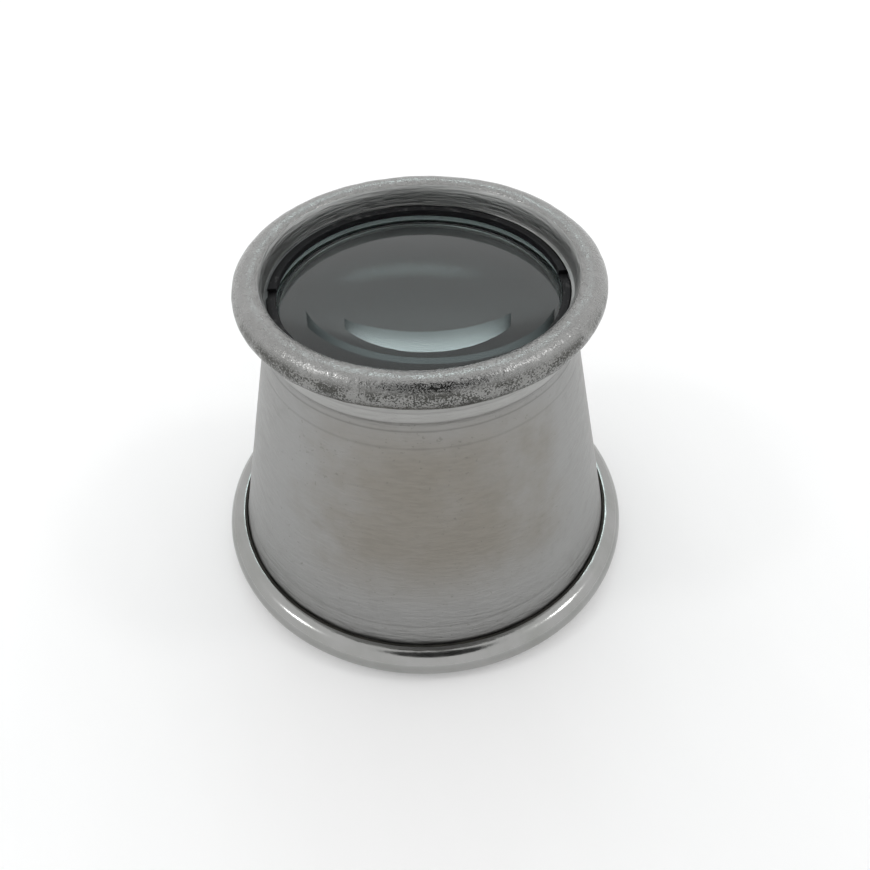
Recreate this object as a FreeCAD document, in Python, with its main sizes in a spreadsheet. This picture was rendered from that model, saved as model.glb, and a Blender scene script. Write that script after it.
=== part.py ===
"""Jeweller's eye loupe: spun aluminium barrel, glass lens, seat and screwed retaining ring.

Frame: the loupe stands on its wide eye end.  +Z is the optical axis, pointing at the lens
end, and the origin is the centre of the flat land under the eye-end curl.  Millimetres.
"""
import FreeCAD, Part
import math
import os
import Sketcher

DIMENSIONS = [
    # alias, value, what it is
    ("eye_diameter", 34.0, "over the curl at the eye end"),
    ("eye_curl_radius", 1.25, "outside radius of the rolled edge at the eye end"),
    ("rest_land_width", 0.7, "flat land lapped under the eye-end curl"),
    ("eye_seam_angle", 105.5, "where the rolled edge stops, round the curl's section"),
    ("eye_wall_angle", 118.0, "where the outside of the wall enters the curl's core"),
    ("eye_mouth_angle", 150.0, "where the curl leaves the inside of the wall"),
    ("lens_end_diameter", 24.9, "over the curl at the lens end"),
    ("lens_curl_radius", 1.13, "outside radius of the rolled edge at the lens end"),
    ("lens_seam_angle", 104.0, "where that edge stops, below the curl's section"),
    ("barrel_height", 25.3, "eye-end land to the top of the lens-end curl"),
    ("sheet_thickness", 0.8, "wall of the spun shell"),
    ("throat_radius", 10.4, "bored through the rolled edge, to let the ring's thread pass"),
    ("throat_ledge_height", 23.67, "where that bore stops, on top of the threaded length"),
    ("throat_chamfer", 0.06, "broken edge of the ledge"),
    ("neck_foot_height", 20.35, "where the cone turns into the straight neck"),
    ("crimp_height", 20.8, "middle of the groove rolled in over the seat ring"),
    ("crimp_width", 0.64, "width of that groove"),
    ("crimp_depth", 0.12, "depth of that groove"),
    ("seat_top_height", 21.05, "shoulder that carries the lens"),
    ("seat_bore_radius", 9.45, "clear opening of the seat ring"),
    ("seat_chamfer", 0.15, "broken edges of the seat ring"),
    ("gasket_thickness", 0.15, "fibre washer under the lens"),
    ("gasket_bore_radius", 9.5, "inside of the washer"),
    ("gasket_radius", 9.8, "outside of the washer"),
    ("lens_radius", 10.08, "half the lens diameter"),
    ("lens_curvature", 64.6, "radius of both faces, for four times in crown glass"),
    ("lens_thickness", 3.3, "through the middle"),
    ("lens_rest_gap", 0.01, "under the lens where it meets the washer"),
    ("lens_bevel", 0.38, "ground bevel that the ring bears on"),
    ("lens_low_bevel", 0.1, "broken edge below"),
    ("ring_radius", 10.12, "outside of the retaining ring, over its thread"),
    ("ring_bore_radius", 9.65, "inside of the retaining ring"),
    ("ring_top_height", 23.6, "top of the retaining ring"),
    ("ring_bevel_gap", 0.03, "ring above the lens bevel"),
    ("slot_width", 1.0, "spanner slots"),
    ("slot_depth", 0.3, "spanner slots"),
]

EYE_X = "(Sizes.eye_diameter / 2 - Sizes.eye_curl_radius)"
EYE_Z = "sqrt(Sizes.eye_curl_radius ^ 2 - (Sizes.rest_land_width / 2) ^ 2)"
EYE_CORE = "(Sizes.eye_curl_radius - Sizes.sheet_thickness)"
LENS_X = "(Sizes.lens_end_diameter / 2 - Sizes.lens_curl_radius)"
LENS_Z = "(Sizes.barrel_height - Sizes.lens_curl_radius)"
LENS_CORE = "(Sizes.lens_curl_radius - Sizes.sheet_thickness)"
BORE = f"({LENS_X} - Sizes.lens_curl_radius)"
THROAT_TOP = (f"({LENS_Z} + sqrt(Sizes.lens_curl_radius ^ 2"
              f" - ({LENS_X} - Sizes.throat_radius) ^ 2))")
NECK = f"({BORE} + Sizes.sheet_thickness)"
CRIMP_RADIUS = "(((Sizes.crimp_width / 2) ^ 2 + Sizes.crimp_depth ^ 2) / (2 * Sizes.crimp_depth))"
CRIMP_LOW = "(Sizes.crimp_height - Sizes.crimp_width / 2)"
CRIMP_HIGH = "(Sizes.crimp_height + Sizes.crimp_width / 2)"


def make_sheet(doc):
    sheet = doc.addObject("Spreadsheet::Sheet", "Sizes")
    for row, (alias, value, note) in enumerate(DIMENSIONS, start=1):
        sheet.set(f"A{row}", alias)
        sheet.set(f"B{row}", str(value))
        sheet.set(f"C{row}", note)
        sheet.setAlias(f"B{row}", alias)
    doc.recompute()
    return sheet


def worth(sheet, expression):
    """The number that an expression over the sheet comes to."""
    return float(sheet.evalExpression(expression))


def on_circle(centre_x, centre_z, radius, angle):
    """Expressions for a point round a circle, the angle being another expression."""
    return (f"{centre_x} + {radius} * cos({angle})", f"{centre_z} + {radius} * sin({angle})")


def origin_plane(body, role):
    return next(f for f in body.Origin.OriginFeatures if f.Role == role)


def hold(sketch, kind, edge, end, sheet, expression):
    """Fix one coordinate of a point to an expression over the sheet."""
    if expression == "0":
        axis = -2 if kind == "DistanceX" else -1
        sketch.addConstraint(Sketcher.Constraint("PointOnObject", edge, end, axis))
        return
    value = worth(sheet, expression)
    index = sketch.addConstraint(Sketcher.Constraint(kind, -1, 1, edge, end, value))
    sketch.setExpression(f"Constraints[{index}]", expression)


def add_edge(sketch, start, finish, arc, sheet):
    """Add one line or arc; return its index and which of its ends start the chain and end it."""
    if arc is None:
        return sketch.addGeometry(Part.LineSegment(start, finish), False), 1, 2
    centre_x, centre_z, radius, turn = arc
    centre = FreeCAD.Vector(worth(sheet, centre_x), worth(sheet, centre_z), 0)
    circle = Part.Circle(centre, FreeCAD.Vector(0, 0, 1), worth(sheet, radius))
    first = math.atan2(start.y - centre.y, start.x - centre.x)
    last = math.atan2(finish.y - centre.y, finish.x - centre.x)
    if turn == "cw":
        first, last = last, first
    if last <= first:
        last += 2 * math.pi
    index = sketch.addGeometry(Part.ArcOfCircle(circle, first, last), False)
    hold(sketch, "DistanceX", index, 3, sheet, centre_x)
    hold(sketch, "DistanceY", index, 3, sheet, centre_z)
    limit = sketch.addConstraint(Sketcher.Constraint("Radius", index, worth(sheet, radius)))
    sketch.setExpression(f"Constraints[{limit}]", radius)
    return (index, 2, 1) if turn == "cw" else (index, 1, 2)


def draw_outline(body, sheet, name, corners):
    """Draw a closed outline on the body's XZ plane.

    Each corner is (x, z, held, arc): two expressions, which of them is held ("x", "z" or
    "xz"), and the arc that leads on to the next corner, or None for a straight edge.  An end
    of an arc is held one way only, because the arc itself settles the other.
    """
    sketch = body.newObject("Sketcher::SketchObject", name)
    sketch.AttachmentSupport = (origin_plane(body, "XZ_Plane"), [""])
    sketch.MapMode = "FlatFace"
    points = [FreeCAD.Vector(worth(sheet, x), worth(sheet, z), 0) for x, z, _, _ in corners]
    edges = []
    for place, corner in enumerate(corners):
        finish = points[(place + 1) % len(points)]
        edges.append(add_edge(sketch, points[place], finish, corner[3], sheet))
    for place, (index, _, end) in enumerate(edges):
        following, start, _ = edges[(place + 1) % len(edges)]
        sketch.addConstraint(Sketcher.Constraint("Coincident", index, end, following, start))
    for (index, start, _), (x, z, held, _) in zip(edges, corners):
        if "x" in held:
            hold(sketch, "DistanceX", index, start, sheet, x)
        if "z" in held:
            hold(sketch, "DistanceY", index, start, sheet, z)
    return sketch


def turned_body(doc, sheet, label, corners):
    """A piece of revolution about Z, from one half section."""
    body = doc.addObject("PartDesign::Body", label)
    body.Label = label
    sketch = draw_outline(body, sheet, f"{label}_section", corners)
    turn = body.newObject("PartDesign::Revolution", f"{label}_turn")
    turn.Profile = sketch
    turn.ReferenceAxis = (sketch, ["V_Axis"])
    turn.Angle = 360
    body.Placement = FreeCAD.Placement()
    return body


def make_barrel(doc, sheet):
    """Spun shell: a straight cone and a short neck, with both edges rolled outwards."""
    eye_outer = (EYE_X, EYE_Z, "Sizes.eye_curl_radius")
    eye_core = (EYE_X, EYE_Z, EYE_CORE)
    lens_outer = (LENS_X, LENS_Z, "Sizes.lens_curl_radius")
    lens_core = (LENS_X, LENS_Z, LENS_CORE)
    crimp_outside = (f"{NECK} + {CRIMP_RADIUS} - Sizes.crimp_depth", "Sizes.crimp_height", CRIMP_RADIUS)
    crimp_inside = (f"{BORE} + {CRIMP_RADIUS} - Sizes.crimp_depth", "Sizes.crimp_height", CRIMP_RADIUS)
    half_land = "Sizes.rest_land_width / 2"
    corners = [
        # eye-end curl, its flat land, its open seam and its hollow core
        (*on_circle(*eye_outer, "Sizes.eye_mouth_angle"), "z", (*eye_outer, "ccw")),
        (f"{EYE_X} - {half_land}", "0", "x", None),
        (f"{EYE_X} + {half_land}", "0", "x", (*eye_outer, "ccw")),
        (*on_circle(*eye_outer, "Sizes.eye_seam_angle"), "x", None),
        (*on_circle(*eye_core, "Sizes.eye_seam_angle"), "x", (*eye_core, "cw")),
        # outside of the cone, the neck and its rolled crimp
        (*on_circle(*eye_core, "Sizes.eye_wall_angle"), "x", None),
        (NECK, "Sizes.neck_foot_height", "xz", None),
        (NECK, CRIMP_LOW, "z", (*crimp_outside, "cw")),
        (NECK, CRIMP_HIGH, "z", None),
        # lens-end curl, core first and then the outside
        (NECK, LENS_Z, "z", (*lens_core, "cw")),
        (*on_circle(*lens_core, "-Sizes.lens_seam_angle"), "x", None),
        (*on_circle(*lens_outer, "-Sizes.lens_seam_angle"), "x", (*lens_outer, "ccw")),
        # throat, threaded bore of the neck and inside of the cone
        ("Sizes.throat_radius", THROAT_TOP, "x", None),
        ("Sizes.throat_radius", "Sizes.throat_ledge_height", "xz", None),
        (f"{BORE} + Sizes.throat_chamfer", "Sizes.throat_ledge_height", "xz", None),
        (BORE, "Sizes.throat_ledge_height - Sizes.throat_chamfer", "xz", None),
        (BORE, CRIMP_HIGH, "z", (*crimp_inside, "ccw")),
        (BORE, CRIMP_LOW, "z", None),
        (BORE, "Sizes.neck_foot_height", "xz", None),
    ]
    return turned_body(doc, sheet, "barrel", corners)


def make_seat_ring(doc, sheet):
    """Turned ring held in the neck by the crimp; its top face is the lens shoulder."""
    crimp = (f"{BORE} + {CRIMP_RADIUS} - Sizes.crimp_depth", "Sizes.crimp_height", CRIMP_RADIUS)
    foot, top = "Sizes.neck_foot_height", "Sizes.seat_top_height"
    bore, edge = "Sizes.seat_bore_radius", "Sizes.seat_chamfer"
    # the ring's top stands on the upper flank of the crimp, so that corner lies on its arc
    reach = f"sqrt({CRIMP_RADIUS} ^ 2 - ({top} - Sizes.crimp_height) ^ 2)"
    corners = [
        (f"{bore} + {edge}", foot, "xz", None),
        (BORE, foot, "xz", None),
        (BORE, CRIMP_LOW, "z", (*crimp, "cw")),
        (f"{crimp[0]} - {reach}", top, "z", None),
        (f"{bore} + {edge}", top, "xz", None),
        (bore, f"{top} - {edge}", "xz", None),
        (bore, f"{foot} + {edge}", "xz", None),
    ]
    return turned_body(doc, sheet, "seat_ring", corners)


def make_gasket(doc, sheet):
    """Thin black fibre washer between the shoulder and the glass."""
    low = "Sizes.seat_top_height"
    high = "Sizes.seat_top_height + Sizes.gasket_thickness"
    corners = [
        ("Sizes.gasket_bore_radius", low, "xz", None),
        ("Sizes.gasket_radius", low, "xz", None),
        ("Sizes.gasket_radius", high, "xz", None),
        ("Sizes.gasket_bore_radius", high, "xz", None),
    ]
    return turned_body(doc, sheet, "seat_gasket", corners)


def sag(radius):
    """How far a face of the lens falls back at a radius."""
    return f"(Sizes.lens_curvature - sqrt(Sizes.lens_curvature ^ 2 - ({radius}) ^ 2))"


LENS_FOOT = (f"(Sizes.seat_top_height + Sizes.gasket_thickness + Sizes.lens_rest_gap"
             f" - {sag('Sizes.gasket_bore_radius')})")
LENS_HEAD = f"({LENS_FOOT} + Sizes.lens_thickness)"
BEVEL_TOP_RADIUS = "(Sizes.lens_radius - Sizes.lens_bevel)"
BEVEL_TOP_HEIGHT = f"({LENS_HEAD} - {sag(BEVEL_TOP_RADIUS)})"


def make_lens(doc, sheet):
    """Equal double-convex lens of crown glass with a ground edge."""
    low_face = ("0", f"{LENS_FOOT} + Sizes.lens_curvature", "Sizes.lens_curvature")
    high_face = ("0", f"{LENS_HEAD} - Sizes.lens_curvature", "Sizes.lens_curvature")
    low_radius = "(Sizes.lens_radius - Sizes.lens_low_bevel)"
    low_height = f"({LENS_FOOT} + {sag(low_radius)})"
    corners = [
        ("0", LENS_FOOT, "x", (*low_face, "ccw")),
        (low_radius, low_height, "x", None),
        ("Sizes.lens_radius", f"{low_height} + Sizes.lens_low_bevel", "xz", None),
        ("Sizes.lens_radius", f"{BEVEL_TOP_HEIGHT} - Sizes.lens_bevel", "xz", None),
        (BEVEL_TOP_RADIUS, BEVEL_TOP_HEIGHT, "x", (*high_face, "ccw")),
        ("0", LENS_HEAD, "x", None),
    ]
    return turned_body(doc, sheet, "lens", corners)


def make_retaining_ring(doc, sheet):
    """Narrow screwed ring that bears on the lens bevel, with two spanner slots."""
    outside, bore = "Sizes.ring_radius", "Sizes.ring_bore_radius"
    top = "Sizes.ring_top_height"
    bevel_foot = f"{BEVEL_TOP_HEIGHT} + Sizes.ring_bevel_gap + {BEVEL_TOP_RADIUS}"
    corners = [
        (bore, f"{bevel_foot} - {bore}", "xz", None),
        (outside, f"{bevel_foot} - {outside}", "xz", None),
        (outside, top, "xz", None),
        (bore, top, "xz", None),
    ]
    body = turned_body(doc, sheet, "retaining_ring", corners)
    doc.recompute()
    whole = body.Shape.Volume
    reach = f"{outside} + Sizes.slot_width"
    slot_corners = [
        (f"-({reach})", f"{top} - Sizes.slot_depth", "xz", None),
        (reach, f"{top} - Sizes.slot_depth", "xz", None),
        (reach, f"{top} + Sizes.slot_depth", "xz", None),
        (f"-({reach})", f"{top} + Sizes.slot_depth", "xz", None),
    ]
    slots = body.newObject("PartDesign::Pocket", "retaining_ring_slots")
    slots.Profile = draw_outline(body, sheet, "retaining_ring_slot_section", slot_corners)
    slots.Midplane = True
    slots.setExpression("Length", "Sizes.slot_width")
    doc.recompute()
    if body.Shape.Volume >= whole:
        raise RuntimeError("the spanner slots cut nothing")
    return body


def check_document(doc, pieces):
    for item in doc.Objects:
        if "Invalid" in item.State or "Error" in item.State:
            raise RuntimeError(f"{item.Name} failed: {item.State}")
    for piece in pieces:
        if piece.Shape.isNull() or not piece.Shape.isValid():
            raise RuntimeError(f"{piece.Label} has no valid shape")


def main():
    doc = FreeCAD.newDocument("eye_loupe")
    sheet = make_sheet(doc)
    makers = [make_barrel, make_seat_ring, make_gasket, make_lens, make_retaining_ring]
    pieces = [make(doc, sheet) for make in makers]
    doc.recompute()
    check_document(doc, pieces)
    os.makedirs("parts", exist_ok=True)
    for piece in pieces:
        piece.Shape.exportStep(f"parts/{piece.Label}.step")
        box = piece.Shape.BoundBox
        print(f"{piece.Label}: {piece.Shape.Volume:.2f} mm3, {len(piece.Shape.Solids)} solid,"
              f" z {box.ZMin:.3f} to {box.ZMax:.3f}, across {box.XLength:.3f}")


main()
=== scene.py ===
import math

import bmesh
import bpy
from mathutils import Matrix, Vector, noise


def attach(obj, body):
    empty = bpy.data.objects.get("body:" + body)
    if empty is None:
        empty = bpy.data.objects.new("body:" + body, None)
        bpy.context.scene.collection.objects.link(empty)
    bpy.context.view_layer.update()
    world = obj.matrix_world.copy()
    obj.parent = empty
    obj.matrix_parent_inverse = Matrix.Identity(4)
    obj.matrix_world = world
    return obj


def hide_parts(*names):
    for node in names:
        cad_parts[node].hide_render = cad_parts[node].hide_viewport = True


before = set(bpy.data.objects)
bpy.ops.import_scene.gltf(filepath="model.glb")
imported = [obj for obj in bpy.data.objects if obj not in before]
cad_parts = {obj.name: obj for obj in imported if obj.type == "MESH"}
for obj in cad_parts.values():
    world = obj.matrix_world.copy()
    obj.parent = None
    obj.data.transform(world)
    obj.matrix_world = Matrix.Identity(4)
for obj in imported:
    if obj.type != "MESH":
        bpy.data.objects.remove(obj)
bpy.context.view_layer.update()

MM = 0.001

# ---------------------------------------------------------------- sizes, in millimetres
TURNS = 288                      # steps round each turned piece

SHEET = 0.8                      # wall of the spun shell
HEIGHT = 25.3
EYE_RADIUS = 17.0
EYE_CURL = 1.25                  # rolled edge at the eye end
LAND_HALF = 0.35                 # half the width of the flat land under that edge
EYE_X = EYE_RADIUS - EYE_CURL
EYE_Z = math.sqrt(EYE_CURL ** 2 - LAND_HALF ** 2)
EYE_SEAM = 105.5                 # where that edge stops, in degrees round the curl
EYE_WALL = 118.0                 # where the wall runs into the hollow of the curl
EYE_MOUTH = 150.0                # where the curl leaves the inside of the wall

LENS_END_RADIUS = 12.45
LENS_CURL = 1.13                 # rolled edge at the lens end
LENS_X = LENS_END_RADIUS - LENS_CURL
LENS_Z = HEIGHT - LENS_CURL
LENS_SEAM = 104.0
BEAD_TURN = 124.0                # where the rolled edge starts to turn down into the throat
BORE = LENS_X - LENS_CURL
NECK = BORE + SHEET
NECK_FOOT = 20.35
THROAT = 10.4                    # bored wide enough for the ring to pass
THROAT_TURN = 0.75               # height of the bend from the bead into the throat, above the ledge
LEDGE = 23.67                    # top of the threaded length
LEDGE_EDGE = 0.06

CRIMP_Z = 20.8                   # groove rolled in over the seat ring
CRIMP_HALF = 0.32
CRIMP_DEPTH = 0.08               # a little shallower than the CAD draws it

THREAD_PITCH = 0.4
THREAD_DEPTH = 0.2
THREAD_FOOT = 22.3
THREAD_LEAD = 0.1                # where the ring's thread starts, at its foot
THREAD_RUNOUT = 0.06             # where it ends, at its top

BEAD_SWELL = 0.05                # slow unevenness of the lens-end bead
BEAD_RIPPLE = 0.022              # the finer part of it
CONE_SWELL = 0.02                # unevenness of the spun cone

SEAT_TOP = 21.05
SEAT_BORE = 9.45
SEAT_EDGE = 0.15
GASKET = 0.15
GASKET_BORE = 9.5
GASKET_RADIUS = 9.8

LENS_RADIUS = 10.08
LENS_CURVE = 64.6
LENS_THICK = 3.3
REST_GAP = 0.01                  # under the glass where it meets the washer
BEVEL_GAP = 0.03                 # between the glass and the ring
LENS_BEVEL = 0.38
LENS_LOW_BEVEL = 0.1

RING_RADIUS = 10.12
RING_BORE = 9.65
RING_TOP = 23.6
RING_EDGE = 0.04
SLOT_WIDTH = 1.0
SLOT_DEPTH = 0.3
CUTTER_LENGTH = 24               # reaches past the ring on both sides


# ---------------------------------------------------------------- outlines
def arc(centre, radius, first, last, steps):
    """Points round an arc, angles in degrees, both ends included."""
    points = []
    for step in range(steps + 1):
        angle = math.radians(first + (last - first) * step / steps)
        points.append((centre[0] + radius * math.cos(angle), centre[1] + radius * math.sin(angle)))
    return points


def straight(start, finish, steps):
    """Points along a straight edge, the first left out."""
    return [(start[0] + (finish[0] - start[0]) * k / steps, start[1] + (finish[1] - start[1]) * k / steps)
            for k in range(1, steps + 1)]


def bend(start, corner, finish, steps):
    """A smooth curve between two points that leaves and arrives towards the corner."""
    points = []
    for k in range(1, steps + 1):
        t = k / steps
        points.append(tuple((1 - t) ** 2 * start[i] + 2 * t * (1 - t) * corner[i] + t * t * finish[i]
                            for i in (0, 1)))
    return points


def scored(start, finish, marks, steps=6):
    """A straight edge with fine lines turned into it; each mark is (height, depth, half width)."""
    points = []
    here = start
    along = (finish[0] - start[0]) / (finish[1] - start[1])
    for height, depth, half in marks:
        for rise, cut in ((-half, 0), (-half / 2, depth / 2), (0, depth), (half / 2, depth / 2), (half, 0)):
            level = height + rise
            target = (start[0] + along * (level - start[1]) - cut, level)
            points += straight(here, target, steps if rise == -half else 1)
            here = target
    return points + straight(here, finish, steps)


def thread(height, angle):
    """How far up its flank the screw thread stands at a height and angle, from 0 to 1."""
    place = (height / THREAD_PITCH - angle / (2 * math.pi)) % 1.0
    return 1 - abs(2 * place - 1)


def sag(radius):
    return LENS_CURVE - math.sqrt(LENS_CURVE ** 2 - radius ** 2)


LENS_FOOT = SEAT_TOP + GASKET + REST_GAP - sag(GASKET_BORE)
LENS_HEAD = LENS_FOOT + LENS_THICK
BEVEL_FOOT = LENS_HEAD - sag(LENS_RADIUS - LENS_BEVEL) + BEVEL_GAP + LENS_RADIUS - LENS_BEVEL
LENS_STEPS = 40                  # rings of faces from the middle of the glass to its edge


# ---------------------------------------------------------------- meshes
def link(piece):
    bpy.context.scene.collection.objects.link(piece)
    return piece


def turned(name, outline, finishes=None, closed=True, shape=None):
    """A mesh turned from an outline of (radius, height).

    finishes gives the material index of each edge of the outline, and shape(radius, height,
    angle, row) may move a point of it.
    """
    rows = len(outline)
    points = []
    for step in range(TURNS):
        angle = 2 * math.pi * step / TURNS
        for row, (radius, height) in enumerate(outline):
            if shape:
                radius, height = shape(radius, height, angle, row)
            points.append((radius * math.cos(angle) * MM, radius * math.sin(angle) * MM, height * MM))
    edges = rows if closed else rows - 1
    faces = []
    for step in range(TURNS):
        here, there = step * rows, (step + 1) % TURNS * rows
        for row in range(edges):
            above = (row + 1) % rows
            faces.append((here + row, there + row, there + above, here + above))
    mesh = bpy.data.meshes.new(name)
    mesh.from_pydata(points, [], faces)
    for place, face in enumerate(mesh.polygons):
        face.use_smooth = True
        face.material_index = finishes[place % edges] if finishes else 0
    return link(bpy.data.objects.new(name, mesh))


def crisp(piece, angle=28):
    """Keep edges sharper than the angle crisp, and smooth the rest."""
    work = bmesh.new()
    work.from_mesh(piece.data)
    for edge in work.edges:
        edge.smooth = not (len(edge.link_faces) == 2 and edge.calc_face_angle(0) > math.radians(angle))
    for face in work.faces:
        face.smooth = True
    work.to_mesh(piece.data)
    work.free()
    return piece


def cut(piece, cutter):
    """Take the cutter out of the piece for good."""
    change = piece.modifiers.new("cut", "BOOLEAN")
    change.object = cutter
    change.operation = "DIFFERENCE"
    bpy.context.view_layer.update()
    drawn = piece.evaluated_get(bpy.context.evaluated_depsgraph_get())
    piece.data = bpy.data.meshes.new_from_object(drawn)
    piece.modifiers.clear()
    bpy.data.objects.remove(cutter)
    return piece


def dress(piece, body, node, materials):
    """Give a piece its materials and say what it rides on and stands for."""
    for material in materials:
        piece.data.materials.append(material)
    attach(piece, body)
    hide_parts(node)
    return piece


CONE, BEAD, EYE_RIM, INSIDE, CORE, THROAT_WALL = range(6)


def barrel_rows():
    """The shell's section in stretches, each with its finish."""
    eye, lens = (EYE_X, EYE_Z), (LENS_X, LENS_Z)
    land = math.degrees(math.acos(LAND_HALF / EYE_CURL))
    reach = (CRIMP_HALF ** 2 + CRIMP_DEPTH ** 2) / (2 * CRIMP_DEPTH)
    swing = math.degrees(math.asin(CRIMP_HALF / reach))
    eye_core = arc(eye, EYE_CURL - SHEET, EYE_SEAM, EYE_WALL - 360, 24)
    crimp = arc((NECK + reach - CRIMP_DEPTH, CRIMP_Z), reach, 180 + swing, 180 - swing, 8)
    bead = arc(lens, LENS_CURL, -LENS_SEAM, BEAD_TURN, 60)
    turn_in = bend(bead[-1], (THROAT, bead[-1][1] - (bead[-1][0] - THROAT) * math.tan(
        math.radians(BEAD_TURN - 90))), (THROAT, LEDGE + THROAT_TURN), 10)
    bore_top = (BORE, LEDGE - LEDGE_EDGE)
    mouth = arc(eye, EYE_CURL, EYE_MOUTH, 180 + land, 12)
    cone = scored(eye_core[-1], (NECK, NECK_FOOT), [(4.1, 0.012, 0.15), (19.2, 0.012, 0.15)], 8)
    neck = scored(crimp[-1], (NECK, LENS_Z), [(21.95, 0.03, 0.14)], 4)
    return [
        (mouth, EYE_RIM),
        (arc(eye, EYE_CURL, 360 - land, 360 + EYE_SEAM - 14, 36), EYE_RIM),
        (arc(eye, EYE_CURL, EYE_SEAM - 10, EYE_SEAM, 2), CORE),
        (eye_core, CORE),
        (cone, CONE),
        (crimp, CONE),
        (neck, CONE),
        (arc(lens, LENS_CURL - SHEET, 180, -LENS_SEAM, 16)[1:], CORE),
        (bead, BEAD),
        (turn_in, THROAT_WALL),
        (straight(turn_in[-1], (THROAT, LEDGE), 6), THROAT_WALL),
        ([(BORE + LEDGE_EDGE, LEDGE), bore_top], THROAT_WALL),
        (straight(bore_top, (BORE, THREAD_FOOT), 42), INSIDE),
        (straight((BORE, THREAD_FOOT), (BORE, NECK_FOOT), 6), INSIDE),
        (straight((BORE, NECK_FOOT), mouth[0], 20)[:-1], INSIDE),
    ]


def make_barrel():
    """Spun shell with both edges rolled, its bore threaded above the lens."""
    outline, finishes = [], []
    for stretch, finish in barrel_rows():
        outline += stretch
        finishes += [finish] * len(stretch)

    def shape(radius, height, angle, row):
        round_about = Vector((math.cos(angle), math.sin(angle), 0)) * 2.2
        if finishes[row] == BEAD and radius > THROAT + 0.001:
            spot = round_about * 1.5 + Vector((0, 0, height * 0.5))
            fine = Vector((radius * math.cos(angle), radius * math.sin(angle), height)) * 1.1
            swell = BEAD_SWELL * noise.noise(spot) + BEAD_RIPPLE * noise.noise(fine)
            away = Vector((radius - LENS_X, height - LENS_Z)).normalized() * swell
            return radius + away.x, height + min(away.y, HEIGHT - height)
        if finishes[row] == CONE and height < NECK_FOOT:
            spot = round_about + Vector((0, 0, height * 0.35))
            return radius + CONE_SWELL * noise.noise(spot), height
        if radius < THROAT - 0.005 and THREAD_FOOT <= height <= LEDGE:
            start = min(1, (height - THREAD_FOOT) / THREAD_PITCH)
            return min(radius + THREAD_DEPTH * start * thread(height, angle), THROAT - 0.008), height
        return radius, height

    return crisp(turned("barrel_shell", outline, finishes, shape=shape), 40)


def make_seat_ring():
    outline = [(SEAT_BORE + SEAT_EDGE, NECK_FOOT), (BORE, NECK_FOOT), (BORE, CRIMP_Z - CRIMP_HALF),
               (BORE - CRIMP_DEPTH, CRIMP_Z), (BORE - CRIMP_DEPTH / 2, SEAT_TOP),
               (SEAT_BORE + SEAT_EDGE, SEAT_TOP), (SEAT_BORE, SEAT_TOP - SEAT_EDGE),
               (SEAT_BORE, NECK_FOOT + SEAT_EDGE)]
    return crisp(turned("seat_ring_turned", outline))


def make_gasket():
    top = SEAT_TOP + GASKET
    outline = [(GASKET_BORE, SEAT_TOP), (GASKET_RADIUS, SEAT_TOP), (GASKET_RADIUS, top), (GASKET_BORE, top)]
    return crisp(turned("seat_gasket_fibre", outline))


HEAD_FACE, FOOT_FACE, GROUND = range(3)


def make_lens():
    """Equal double-convex glass with a ground edge and a bevel under the ring."""
    low_edge = LENS_RADIUS - LENS_LOW_BEVEL
    high_edge = LENS_RADIUS - LENS_BEVEL
    outward = range(1, LENS_STEPS + 1)
    low = [(low_edge * k / LENS_STEPS, LENS_FOOT + sag(low_edge * k / LENS_STEPS)) for k in outward]
    high = [(high_edge * k / LENS_STEPS, LENS_HEAD - sag(high_edge * k / LENS_STEPS))
            for k in reversed(outward)]
    wall_low = (LENS_RADIUS, low[-1][1] + LENS_LOW_BEVEL)
    wall_high = (LENS_RADIUS, high[0][1] - LENS_BEVEL)
    edge = [wall_low] + straight(wall_low, wall_high, 8)
    face_rings = LENS_STEPS - 1
    finishes = [FOOT_FACE] * face_rings + [GROUND] * (len(edge) + 1) + [HEAD_FACE] * face_rings
    piece = turned("lens_glass", low + edge + high, finishes, closed=False)
    work = bmesh.new()
    work.from_mesh(piece.data)
    rows = len(low + edge + high)
    corners = list(work.verts)
    for side, row, height in ((FOOT_FACE, 0, LENS_FOOT), (HEAD_FACE, rows - 1, LENS_HEAD)):
        middle = work.verts.new((0, 0, height * MM))
        rim = corners[row::rows]
        for step in range(TURNS):
            pair = [rim[step], rim[(step + 1) % TURNS]]
            face = work.faces.new([middle] + (pair[::-1] if side == FOOT_FACE else pair))
            face.material_index = side
    work.to_mesh(piece.data)
    work.free()
    return crisp(piece, 20)


def make_ring():
    """Screwed ring with its thread outside and two spanner slots across its top."""
    foot_in, foot_out = BEVEL_FOOT - RING_BORE, BEVEL_FOOT - RING_RADIUS
    wall = straight((RING_RADIUS, foot_out), (RING_RADIUS, RING_TOP - RING_EDGE), 28)
    outline = [(RING_BORE, foot_in), (RING_RADIUS, foot_out)] + wall
    outline += [(RING_RADIUS - RING_EDGE, RING_TOP), (RING_BORE + RING_EDGE, RING_TOP),
                (RING_BORE, RING_TOP - RING_EDGE)]

    def shape(radius, height, angle, row):
        if radius < RING_RADIUS - 0.001:
            return radius, height
        lead = min(1, (height - foot_out) / THREAD_LEAD, (RING_TOP - height) / THREAD_RUNOUT)
        return radius + THREAD_DEPTH * lead * thread(height, angle), height

    ring = turned("retaining_ring_black", outline, shape=shape)
    bpy.ops.mesh.primitive_cube_add(size=1, location=(0, 0, RING_TOP * MM))
    cutter = bpy.context.object
    cutter.scale = (CUTTER_LENGTH * MM, SLOT_WIDTH * MM, 2 * SLOT_DEPTH * MM)
    return crisp(cut(ring, cutter))


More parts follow.
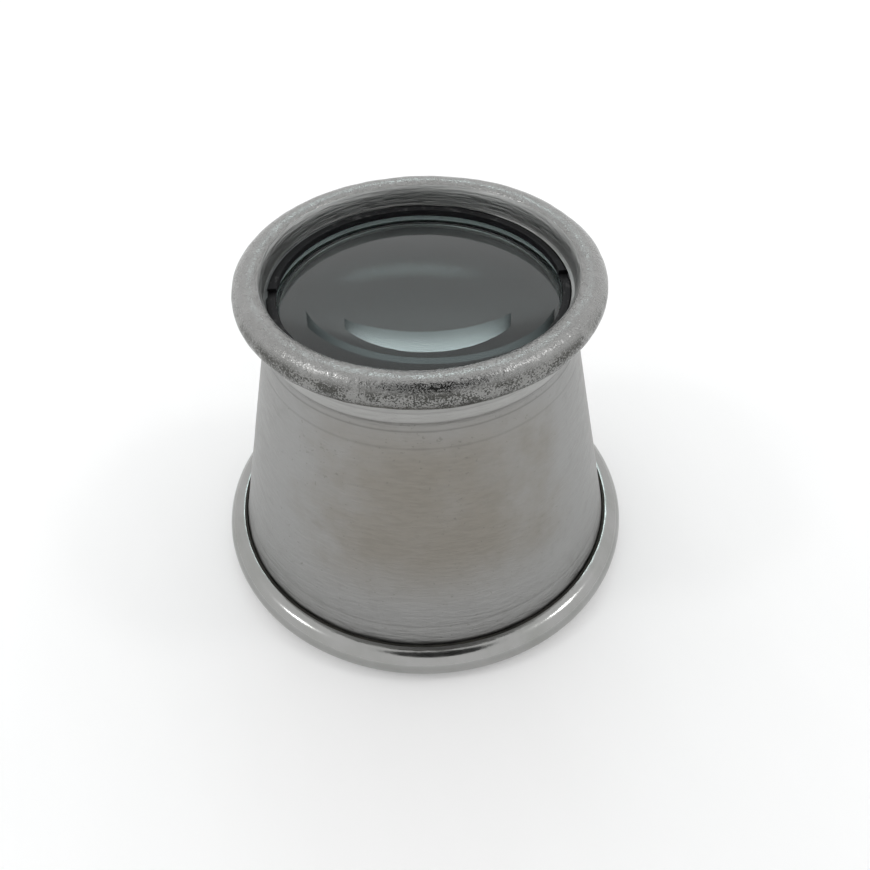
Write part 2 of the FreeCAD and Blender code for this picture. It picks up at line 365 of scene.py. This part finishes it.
# ---------------------------------------------------------------- shared finish effects
def effect(name, inputs, outputs):
    """A node group with number inputs, each with its usual value, and outputs."""
    group = bpy.data.node_groups.new(name, "ShaderNodeTree")
    for title, usual in inputs:
        socket = group.interface.new_socket(title, in_out="INPUT", socket_type="NodeSocketFloat")
        socket.default_value = usual
    for title in outputs:
        group.interface.new_socket(title, in_out="OUTPUT", socket_type="NodeSocketFloat")
    return group, group.nodes.new("NodeGroupInput"), group.nodes.new("NodeGroupOutput")


def maths(tree, operation, first, second=None, third=None):
    """A Math node over sockets or numbers; its answer is returned."""
    node = tree.nodes.new("ShaderNodeMath")
    node.operation = operation
    for place, value in enumerate((first, second, third)):
        if value is None:
            continue
        if isinstance(value, (int, float)):
            node.inputs[place].default_value = value
        else:
            tree.links.new(value, node.inputs[place])
    return node.outputs[0]


def smooth_step(tree, value, low, high):
    """0 below low and 1 above high, softly."""
    node = tree.nodes.new("ShaderNodeMapRange")
    node.interpolation_type = "SMOOTHSTEP"
    for title, given in (("Value", value), ("From Min", low), ("From Max", high)):
        if isinstance(given, (int, float)):
            node.inputs[title].default_value = given
        else:
            tree.links.new(given, node.inputs[title])
    return node.outputs["Result"]


def place_parts(tree):
    """The point's x, y, height and distance from the axis, in metres."""
    place = tree.nodes.new("ShaderNodeTexCoord")
    parts = tree.nodes.new("ShaderNodeSeparateXYZ")
    tree.links.new(place.outputs["Object"], parts.inputs[0])
    x, y, z = parts.outputs
    squares = maths(tree, "ADD", maths(tree, "MULTIPLY", x, x), maths(tree, "MULTIPLY", y, y))
    return x, y, z, maths(tree, "SQRT", squares)


def scaled(tree, parts, factor):
    """Each of the parts times one factor."""
    return [maths(tree, "MULTIPLY", part, factor) for part in parts]


def drifting_noise(tree, x, y, z, detail, roughness=0.55):
    """Noise over a point given by three values."""
    join = tree.nodes.new("ShaderNodeCombineXYZ")
    for value, socket in zip((x, y, z), join.inputs):
        if isinstance(value, (int, float)):
            socket.default_value = value
        else:
            tree.links.new(value, socket)
    grain = tree.nodes.new("ShaderNodeTexNoise")
    grain.inputs["Scale"].default_value = 1.0
    grain.inputs["Detail"].default_value = detail
    grain.inputs["Roughness"].default_value = roughness
    tree.links.new(join.outputs[0], grain.inputs["Vector"])
    return grain.outputs["Fac"]


def make_turned_grain():
    """Fine lines left round a piece by spinning and turning it."""
    group, given, made = effect("turned_grain", [("Lines", 9000.0), ("Drift", 5.0)], ["Fine", "Bands"])
    x, y, z, radius = place_parts(group)
    out_x, out_y = maths(group, "DIVIDE", x, radius), maths(group, "DIVIDE", y, radius)
    drift, lines = given.outputs["Drift"], given.outputs["Lines"]
    across = maths(group, "ADD", z, maths(group, "MULTIPLY", radius, 0.7))
    wide = scaled(group, (out_x, out_y), drift)
    close = drifting_noise(group, *wide, maths(group, "MULTIPLY", across, lines), 3.0)
    fine = smooth_step(group, close, 0.35, 0.65)
    slow = maths(group, "MULTIPLY", across, maths(group, "MULTIPLY", lines, 0.09))
    bands = drifting_noise(group, *scaled(group, wide, 0.4), slow, 2.0)
    group.links.new(fine, made.inputs["Fine"])
    group.links.new(bands, made.inputs["Bands"])
    return group


def make_pitting():
    """Small dark pits, thick in some places and absent in others."""
    group, given, made = effect("pitting", [("Size", 6000.0), ("Cover", 0.5)], ["Pits", "Peel"])
    x, y, z, _ = place_parts(group)
    size = given.outputs["Size"]
    spots = drifting_noise(group, *scaled(group, (x, y, z), size), 2.0, 0.6)
    slow = maths(group, "MULTIPLY", size, 0.07)
    patch = drifting_noise(group, *scaled(group, (x, y, z), slow), 2.0)
    covered = maths(group, "MULTIPLY", given.outputs["Cover"], maths(group, "MULTIPLY", patch, 0.62))
    limit = maths(group, "SUBTRACT", 0.80, covered)
    pits = smooth_step(group, spots, limit, maths(group, "ADD", limit, 0.08))
    coarse = drifting_noise(group, *scaled(group, (x, y, z), maths(group, "MULTIPLY", size, 0.42)), 3.0)
    peel = maths(group, "SUBTRACT", coarse, maths(group, "MULTIPLY", pits, 0.6))
    group.links.new(pits, made.inputs["Pits"])
    group.links.new(peel, made.inputs["Peel"])
    return group


def make_height_band():
    """1 between two heights above the land, with soft ends; all in millimetres."""
    group, given, made = effect("height_band", [("Low", 0.0), ("High", 1.0), ("Soft", 0.1)], ["Band"])
    height = maths(group, "MULTIPLY", place_parts(group)[2], 1000.0)
    low, high, soft = (given.outputs[title] for title in ("Low", "High", "Soft"))
    rise = smooth_step(group, height, maths(group, "SUBTRACT", low, soft), maths(group, "ADD", low, soft))
    fall = smooth_step(group, height, maths(group, "SUBTRACT", high, soft), maths(group, "ADD", high, soft))
    group.links.new(maths(group, "SUBTRACT", rise, fall), made.inputs["Band"])
    return group


def make_painted_front_reflection():
    """A painted dark reflection on the side that faces -Y, soft and uneven at its edge."""
    group, given, made = effect("painted_front_reflection", [("Spread", 0.5), ("Mottle", 260.0)], ["Patch"])
    x, y, z, radius = place_parts(group)
    facing = maths(group, "DIVIDE", maths(group, "MULTIPLY", y, -1.0), radius)
    mottle = given.outputs["Mottle"]
    uneven = drifting_noise(group, *scaled(group, (x, y, z), mottle), 4.0, 0.6)
    spread = given.outputs["Spread"]
    edge = maths(group, "ADD", facing, maths(group, "MULTIPLY", maths(group, "SUBTRACT", uneven, 0.5), 0.5))
    group.links.new(smooth_step(group, edge, spread, 1.05), made.inputs["Patch"])
    return group


def make_smears():
    """Faint wiped marks and blotches."""
    group, given, made = effect("smears", [("Size", 350.0), ("Low", 0.35), ("High", 0.75)], ["Smear"])
    x, y, z, _ = place_parts(group)
    size = given.outputs["Size"]
    along = maths(group, "MULTIPLY", maths(group, "ADD", x, maths(group, "MULTIPLY", y, 0.4)), size)
    across = maths(group, "MULTIPLY", maths(group, "SUBTRACT", y, maths(group, "MULTIPLY", x, 0.4)),
                   maths(group, "MULTIPLY", size, 0.35))
    mark = drifting_noise(group, along, across, maths(group, "MULTIPLY", z, size), 3.0)
    smear = smooth_step(group, mark, given.outputs["Low"], given.outputs["High"])
    group.links.new(smear, made.inputs["Smear"])
    return group


TURNED_GRAIN = make_turned_grain()
PITTING = make_pitting()
HEIGHT_BAND = make_height_band()
PAINTED_FRONT_REFLECTION = make_painted_front_reflection()
SMEARS = make_smears()


# ---------------------------------------------------------------- materials
class Finish:
    """A material under way: its shader, and the colour, roughness and relief that feed it."""

    def __init__(self, name, colour, metallic, roughness):
        self.material = bpy.data.materials.new(name)
        self.material.use_nodes = True
        self.tree = self.material.node_tree
        self.shader = self.tree.nodes["Principled BSDF"]
        self.shader.inputs["Base Color"].default_value = (*colour, 1)
        self.shader.inputs["Metallic"].default_value = metallic
        self.shader.inputs["Roughness"].default_value = roughness
        self.colour = colour
        self.roughness = roughness

    def put(self, group, output, **values):
        """Place a shared effect with its own values, and give one of its outputs."""
        node = self.tree.nodes.new("ShaderNodeGroup")
        node.node_tree = group
        for title, value in values.items():
            node.inputs[title].default_value = value
        return node.outputs[output]

    def both(self, first, second):
        return maths(self.tree, "MULTIPLY", first, second)

    def tint(self, mask, colour, strength=1.0):
        """Lay a colour over what is there, where the mask is high."""
        mix = self.tree.nodes.new("ShaderNodeMix")
        mix.data_type = "RGBA"
        self.tree.links.new(maths(self.tree, "MULTIPLY", mask, strength), mix.inputs["Factor"])
        if isinstance(self.colour, tuple):
            mix.inputs["A"].default_value = (*self.colour, 1)
        else:
            self.tree.links.new(self.colour, mix.inputs["A"])
        mix.inputs["B"].default_value = (*colour, 1)
        self.colour = mix.outputs["Result"]
        self.tree.links.new(self.colour, self.shader.inputs["Base Color"])

    def roughen(self, mask, amount):
        """Add to the roughness where the mask is high."""
        self.roughness = maths(self.tree, "MULTIPLY_ADD", mask, amount, self.roughness)
        self.tree.links.new(self.roughness, self.shader.inputs["Roughness"])

    def relief(self, mask, depth, strength=1.0):
        """Raise the surface by the mask, depth in millimetres."""
        bump = self.tree.nodes.new("ShaderNodeBump")
        bump.inputs["Distance"].default_value = depth * MM
        bump.inputs["Strength"].default_value = strength
        self.tree.links.new(mask, bump.inputs["Height"])
        earlier = self.shader.inputs["Normal"].links
        if earlier:
            self.tree.links.new(earlier[0].from_socket, bump.inputs["Normal"])
        self.tree.links.new(bump.outputs["Normal"], self.shader.inputs["Normal"])


ALUMINIUM = (0.31, 0.31, 0.305)
BRIGHT = (0.40, 0.40, 0.395)
# brown for the painted dark reflection on the front of the cone
PAINTED_REFLECTION_BROWN = (0.235, 0.215, 0.18)
# dark for grime in the pits and for painted shade in the creases
GRIME_AND_SHADE = (0.035, 0.035, 0.03)


def satin_cone():
    """Spun grain over the cone and neck, with painted shade in the rolled lines and a painted dark
    reflection on the front.
    """
    finish = Finish("satin_cone", ALUMINIUM, 1.0, 0.40)
    grain = finish.put(TURNED_GRAIN, "Fine", Lines=4600.0, Drift=10.0)
    bands = finish.put(TURNED_GRAIN, "Bands", Lines=5200.0, Drift=7.0)
    patch = finish.put(PAINTED_FRONT_REFLECTION, "Patch", Spread=0.62, Mottle=260.0)
    upper = finish.put(HEIGHT_BAND, "Band", Low=8.0, High=20.2, Soft=3.0)
    finish.tint(bands, (0.27, 0.27, 0.265), 0.6)
    finish.tint(grain, BRIGHT, 0.35)
    scuff = finish.put(SMEARS, "Smear", Size=1100.0, Low=0.5, High=0.8)
    finish.tint(scuff, (0.25, 0.25, 0.24), 0.4)
    # painted reflection: the front of the cone made darker and browner, as if reflecting the dark front
    finish.tint(finish.both(patch, upper), PAINTED_REFLECTION_BROWN, 0.75)
    # painted shade in the scored lines, at the edges of the crimp and in the crease under the bead
    lines = [(20.4, 20.5, 0.08, 0.35), (21.1, 21.2, 0.08, 0.3), (21.9, 22.0, 0.08, 0.4),
             (19.15, 19.25, 0.1, 0.2), (4.05, 4.15, 0.1, 0.2), (22.75, 23.3, 0.15, 0.6)]
    for low, high, soft, strength in lines:
        band = finish.put(HEIGHT_BAND, "Band", Low=low, High=high, Soft=soft)
        finish.tint(band, GRIME_AND_SHADE, strength)
    pits = finish.put(PITTING, "Pits", Size=5200.0, Cover=0.75)
    collar = finish.put(HEIGHT_BAND, "Band", Low=22.75, High=24.0, Soft=0.25)
    finish.tint(finish.both(pits, collar), GRIME_AND_SHADE, 0.9)
    specks = finish.put(PITTING, "Pits", Size=3000.0, Cover=0.42)
    finish.tint(specks, (0.16, 0.155, 0.14), 0.4)
    neck = finish.put(HEIGHT_BAND, "Band", Low=21.25, High=22.8, Soft=0.15)
    finish.tint(neck, (0.46, 0.46, 0.45), 0.5)
    # painted shade in the crease where the cone runs into the eye-end curl
    foot = finish.put(HEIGHT_BAND, "Band", Low=1.5, High=2.6, Soft=0.15)
    finish.tint(foot, GRIME_AND_SHADE, 0.75)
    finish.roughen(grain, 0.14)
    finish.roughen(patch, 0.05)
    finish.relief(grain, 0.015)
    return finish.material


def pitted_bead():
    """The lens-end rolled edge: coarse and pitted outside, with a painted highlight along its crest."""
    finish = Finish("pitted_bead", (0.28, 0.28, 0.275), 1.0, 0.2)
    pits = finish.put(PITTING, "Pits", Size=9000.0, Cover=1.05)
    peel = finish.put(PITTING, "Peel", Size=9000.0, Cover=1.05)
    # painted highlight: the crest made lighter where the lights catch it
    painted_highlight_crest = finish.put(HEIGHT_BAND, "Band", Low=24.9, High=25.6, Soft=0.35)
    outside = finish.put(HEIGHT_BAND, "Band", Low=23.0, High=24.75, Soft=0.25)
    bands = finish.put(TURNED_GRAIN, "Bands", Lines=7000.0, Drift=9.0)
    finish.tint(bands, (0.22, 0.22, 0.21), 0.6)
    mottle = finish.put(SMEARS, "Smear", Size=1500.0, Low=0.35, High=0.7)
    finish.tint(mottle, (0.22, 0.22, 0.21), 0.6)
    finish.tint(painted_highlight_crest, BRIGHT, 0.5)
    finish.tint(finish.both(pits, outside), GRIME_AND_SHADE, 0.85)
    # painted shade: darker on the underside of the bead, where it meets the neck
    low = finish.put(HEIGHT_BAND, "Band", Low=22.9, High=23.5, Soft=0.3)
    finish.tint(low, (0.12, 0.125, 0.105), 0.6)
    finish.roughen(peel, 0.12)
    finish.relief(peel, 0.05)
    return finish.material


def polished_curl():
    """The eye-end rolled edge, polished, with light handling marks."""
    finish = Finish("polished_curl", (0.36, 0.36, 0.355), 1.0, 0.07)
    smear = finish.put(SMEARS, "Smear", Size=420.0, Low=0.3, High=0.8)
    grain = finish.put(TURNED_GRAIN, "Fine", Lines=6000.0, Drift=12.0)
    finish.tint(smear, (0.29, 0.295, 0.28), 0.8)
    finish.roughen(smear, 0.09)
    finish.roughen(grain, 0.04)
    finish.relief(grain, 0.003)
    low = finish.put(HEIGHT_BAND, "Band", Low=2.2, High=2.7, Soft=0.15)
    finish.roughen(low, 0.05)
    return finish.material


def dull_inside_painted_shade():
    """The inside of the shell, left dull from spinning, its colour darkened as painted shade, with darker
    turned bands.
    """
    finish = Finish("dull_inside_painted_shade", (0.14, 0.15, 0.15), 1.0, 0.5)
    grain = finish.put(TURNED_GRAIN, "Fine", Lines=4500.0, Drift=4.0)
    bands = finish.put(TURNED_GRAIN, "Bands", Lines=3000.0, Drift=4.0)
    finish.tint(bands, (0.10, 0.11, 0.11), 0.4)
    finish.roughen(grain, 0.06)
    finish.relief(grain, 0.002)
    return finish.material


def throat_wall():
    """The bored way in above the ring, left as it was turned."""
    finish = Finish("throat_wall", (0.36, 0.365, 0.36), 1.0, 0.36)
    grain = finish.put(TURNED_GRAIN, "Fine", Lines=6000.0, Drift=5.0)
    bands = finish.put(TURNED_GRAIN, "Bands", Lines=9000.0, Drift=9.0)
    finish.tint(bands, (0.26, 0.265, 0.26), 0.7)
    finish.roughen(grain, 0.16)
    finish.relief(grain, 0.02)
    return finish.material


def curl_core_painted_shade():
    """The hollow inside each rolled edge, painted near black as painted shade, with faint blotches."""
    finish = Finish("curl_core_painted_shade", (0.05, 0.05, 0.045), 1.0, 0.6)
    smear = finish.put(SMEARS, "Smear", Size=900.0, Low=0.3, High=0.7)
    finish.tint(smear, (0.09, 0.085, 0.075), 0.8)
    finish.roughen(smear, 0.2)
    return finish.material


def turned_shoulder():
    finish = Finish("turned_shoulder", (0.42, 0.42, 0.415), 1.0, 0.28)
    grain = finish.put(TURNED_GRAIN, "Fine", Lines=12000.0, Drift=2.0)
    finish.tint(grain, (0.30, 0.30, 0.295), 0.6)
    finish.roughen(grain, 0.12)
    finish.relief(grain, 0.006)
    return finish.material


def black_fibre():
    finish = Finish("black_fibre", (0.012, 0.012, 0.012), 0.0, 0.75)
    fibres = finish.put(SMEARS, "Smear", Size=5200.0, Low=0.4, High=0.7)
    finish.tint(fibres, (0.035, 0.033, 0.03), 0.8)
    finish.roughen(fibres, 0.15)
    finish.relief(fibres, 0.02)
    return finish.material


def blackened_ring():
    """Blackened metal, with a painted highlight in grey spots on its top face."""
    finish = Finish("blackened_ring", (0.004, 0.004, 0.005), 0.0, 0.45)
    grain = finish.put(TURNED_GRAIN, "Fine", Lines=9000.0, Drift=6.0)
    highlight_spots = finish.put(PITTING, "Pits", Size=2600.0, Cover=0.7)
    top = finish.put(HEIGHT_BAND, "Band", Low=RING_TOP - 0.03, High=RING_TOP + 1, Soft=0.02)
    finish.shader.inputs["Specular IOR Level"].default_value = 0.2
    finish.tint(grain, (0.012, 0.012, 0.013), 0.8)
    # painted highlight: grey spots on the top face, where the light catches it
    finish.tint(finish.both(highlight_spots, top), (0.06, 0.06, 0.06), 0.6)
    finish.roughen(grain, 0.18)
    finish.relief(grain, 0.008)
    return finish.material


def lens_glass(name, reflection, dust):
    """Clear glass, a little greenish, with faint wiped marks; reflection tints its sheen.

    The under face is given a dim reflection and a rough surface, so that the window shows once.
    On real glass both faces reflect alike.
    """
    finish = Finish(name, (0.88, 0.985, 0.98), 0.0, dust)
    finish.shader.inputs["Transmission Weight"].default_value = 1.0
    finish.shader.inputs["IOR"].default_value = 1.52
    finish.shader.inputs["Specular Tint"].default_value = (*reflection, 1)
    smear = finish.put(SMEARS, "Smear", Size=260.0, Low=0.45, High=0.9)
    finish.roughen(smear, 0.008)
    return finish.material


def ground_edge():
    """Edge and bevel of the glass, left grey from grinding."""
    finish = Finish("ground_edge", (0.62, 0.68, 0.67), 0.0, 0.7)
    frost = finish.put(SMEARS, "Smear", Size=2600.0, Low=0.3, High=0.7)
    finish.tint(frost, (0.74, 0.80, 0.79), 0.8)
    finish.roughen(frost, 0.2)
    finish.relief(frost, 0.01)
    return finish.material


def white_paper():
    finish = Finish("white_paper", (0.94, 0.94, 0.94), 0.0, 0.75)
    fibres = finish.put(SMEARS, "Smear", Size=120.0, Low=0.2, High=0.9)
    finish.tint(fibres, (0.96, 0.96, 0.96), 1.0)
    finish.shader.inputs["Emission Color"].default_value = (1, 1, 1, 1)
    finish.shader.inputs["Emission Strength"].default_value = 0.03
    return finish.material


dress(make_barrel(), "barrel", "barrel",
      [satin_cone(), pitted_bead(), polished_curl(), dull_inside_painted_shade(), curl_core_painted_shade(), throat_wall()])
dress(make_seat_ring(), "barrel", "seat_ring", [turned_shoulder()])
dress(make_gasket(), "barrel", "seat_gasket", [black_fibre()])
dress(make_lens(), "lens", "lens",
      [lens_glass("lens_glass_top", (1, 1, 1), 0.0),
       lens_glass("lens_glass_under", (0.02, 0.02, 0.02), 0.10), ground_edge()])
dress(make_ring(), "retaining_ring", "retaining_ring", [blackened_ring()])

# ---------------------------------------------------------------- studio
bpy.ops.mesh.primitive_plane_add(size=2.0)
floor = bpy.context.object
floor.name = "floor"
floor.data.materials.append(white_paper())

world = bpy.data.worlds.new("studio")
world.use_nodes = True
world.node_tree.nodes["Background"].inputs["Color"].default_value = (1, 1, 1, 1)
world.node_tree.nodes["Background"].inputs["Strength"].default_value = 1.0
bpy.context.scene.world = world


def direction(azimuth, elevation):
    a, e = math.radians(azimuth), math.radians(elevation)
    return Vector((math.cos(e) * math.cos(a), math.cos(e) * math.sin(a), math.sin(e)))


def soft_box(name, azimuth, elevation, distance, width, height, radiance):
    """A flat soft light that looks at the loupe; sizes in metres."""
    light = bpy.data.lights.new(name, "AREA")
    light.shape = "RECTANGLE"
    light.size, light.size_y = width, height
    light.energy = radiance * math.pi * width * height
    lamp = link(bpy.data.objects.new(name, light))
    lamp.location = direction(azimuth, elevation) * distance
    lamp.rotation_euler = (-lamp.location).to_track_quat("-Z", "Y").to_euler()


soft_box("left_light", 187, 50, 0.5, 0.06, 0.06, 12.0)
soft_box("right_light", 358, 53, 0.5, 0.06, 0.06, 12.0)

WINDOW_AZIMUTH, WINDOW_ELEVATION = 87, 46
WINDOW_DISTANCE = 500             # millimetres
WINDOW_TINT = (0.84, 1.0, 1.01)


def circle_top(centre, radius, across):
    """Height of a circle's upper half above a point across it."""
    return centre[1] + math.sqrt(max(0, radius ** 2 - (across - centre[0]) ** 2))


def crescent_light(name, outer, inner, half, glow_inner, glow_outer):
    """A glowing crescent between two circles, each ((across, up), radius) in millimetres.

    It stands half a metre off behind the loupe, square to the line that leads to it.
    """
    aim = direction(WINDOW_AZIMUTH, WINDOW_ELEVATION)
    side = direction(WINDOW_AZIMUTH - 90, 0)
    rise = side.cross(aim)
    steps, rows = 48, 6
    points, glows, faces = [], [], []
    for step in range(steps + 1):
        across = outer[0][0] + half * (2 * step / steps - 1)
        low, high = circle_top(*inner, across), circle_top(*outer, across)
        for row in range(rows + 1):
            up = low + max(0, high - low) * row / rows
            points.append((aim * WINDOW_DISTANCE + side * across + rise * up) * MM)
            fade = 1 - abs(2 * step / steps - 1) ** 4
            glows.append(fade * (glow_inner + (glow_outer - glow_inner) * (row / rows) ** 1.5))
    for step in range(steps):
        for row in range(rows):
            here = step * (rows + 1) + row
            faces.append((here, here + 1, here + rows + 2, here + rows + 1))
    mesh = bpy.data.meshes.new(name)
    mesh.from_pydata(points, [], faces)
    mesh.attributes.new("glow", "FLOAT", "POINT").data.foreach_set("value", glows)
    material = bpy.data.materials.new(name)
    material.use_nodes = True
    tree = material.node_tree
    shader = tree.nodes["Principled BSDF"]
    shader.inputs["Base Color"].default_value = (0, 0, 0, 1)
    shader.inputs["Emission Strength"].default_value = 1.0
    glow = tree.nodes.new("ShaderNodeAttribute")
    glow.attribute_name = "glow"
    colour = tree.nodes.new("ShaderNodeVectorMath")
    colour.operation = "SCALE"
    colour.inputs[0].default_value = WINDOW_TINT
    tree.links.new(glow.outputs["Fac"], colour.inputs["Scale"])
    tree.links.new(colour.outputs[0], shader.inputs["Emission Color"])
    mesh.materials.append(material)
    card = link(bpy.data.objects.new(name, mesh))
    card.visible_camera = False
    card.visible_shadow = False


crescent_light("window_light", ((12, -57), 127.4), ((8.5, -121), 150), 110, 2.6, 8.5)
crescent_light("window_rim", ((16, -86), 180), ((16, -86), 168), 165, 2.2, 2.2)


def dark_ball(name, place, radius):
    """A dark body over the loupe, seen only as a dark patch in its polished rims."""
    mesh = bpy.data.meshes.new(name)
    work = bmesh.new()
    bmesh.ops.create_icosphere(work, subdivisions=3, radius=radius * MM)
    work.to_mesh(mesh)
    work.free()
    ball = link(bpy.data.objects.new(name, mesh))
    ball.location = Vector(place) * MM
    paint = Finish("dark_cloth", (0.02, 0.02, 0.02), 0.0, 0.95)
    paint.tint(paint.put(SMEARS, "Smear", Size=100.0), (0.035, 0.035, 0.035))
    mesh.materials.append(paint.material)
    ball.visible_camera = False
    ball.visible_shadow = False


dark_ball("dark_body", (2, -29, 48), 16)

# ---------------------------------------------------------------- camera
PITCH, ROLL = 0.841, -0.064        # radians
CAMERA_PLACE = (-2.377, -44.34, 53.98)   # millimetres
forward = Vector((0, math.cos(PITCH), -math.sin(PITCH)))
upward = Vector((0, math.sin(PITCH), math.cos(PITCH)))
right = Vector((1, 0, 0)) * math.cos(ROLL) + upward * math.sin(ROLL)
above = upward * math.cos(ROLL) - Vector((1, 0, 0)) * math.sin(ROLL)
lens_data = bpy.data.cameras.new("camera")
lens_data.lens = 31.99
lens_data.sensor_width = 36.0
lens_data.clip_start = 0.001
lens_data.shift_x = 0.046
lens_data.shift_y = 0.046
camera = link(bpy.data.objects.new("camera", lens_data))
turn = Matrix((right, above, -forward)).transposed().to_4x4()
camera.matrix_world = Matrix.Translation(Vector(CAMERA_PLACE) * MM) @ turn
bpy.context.scene.camera = camera
bpy.context.scene.view_settings.view_transform = "Standard"
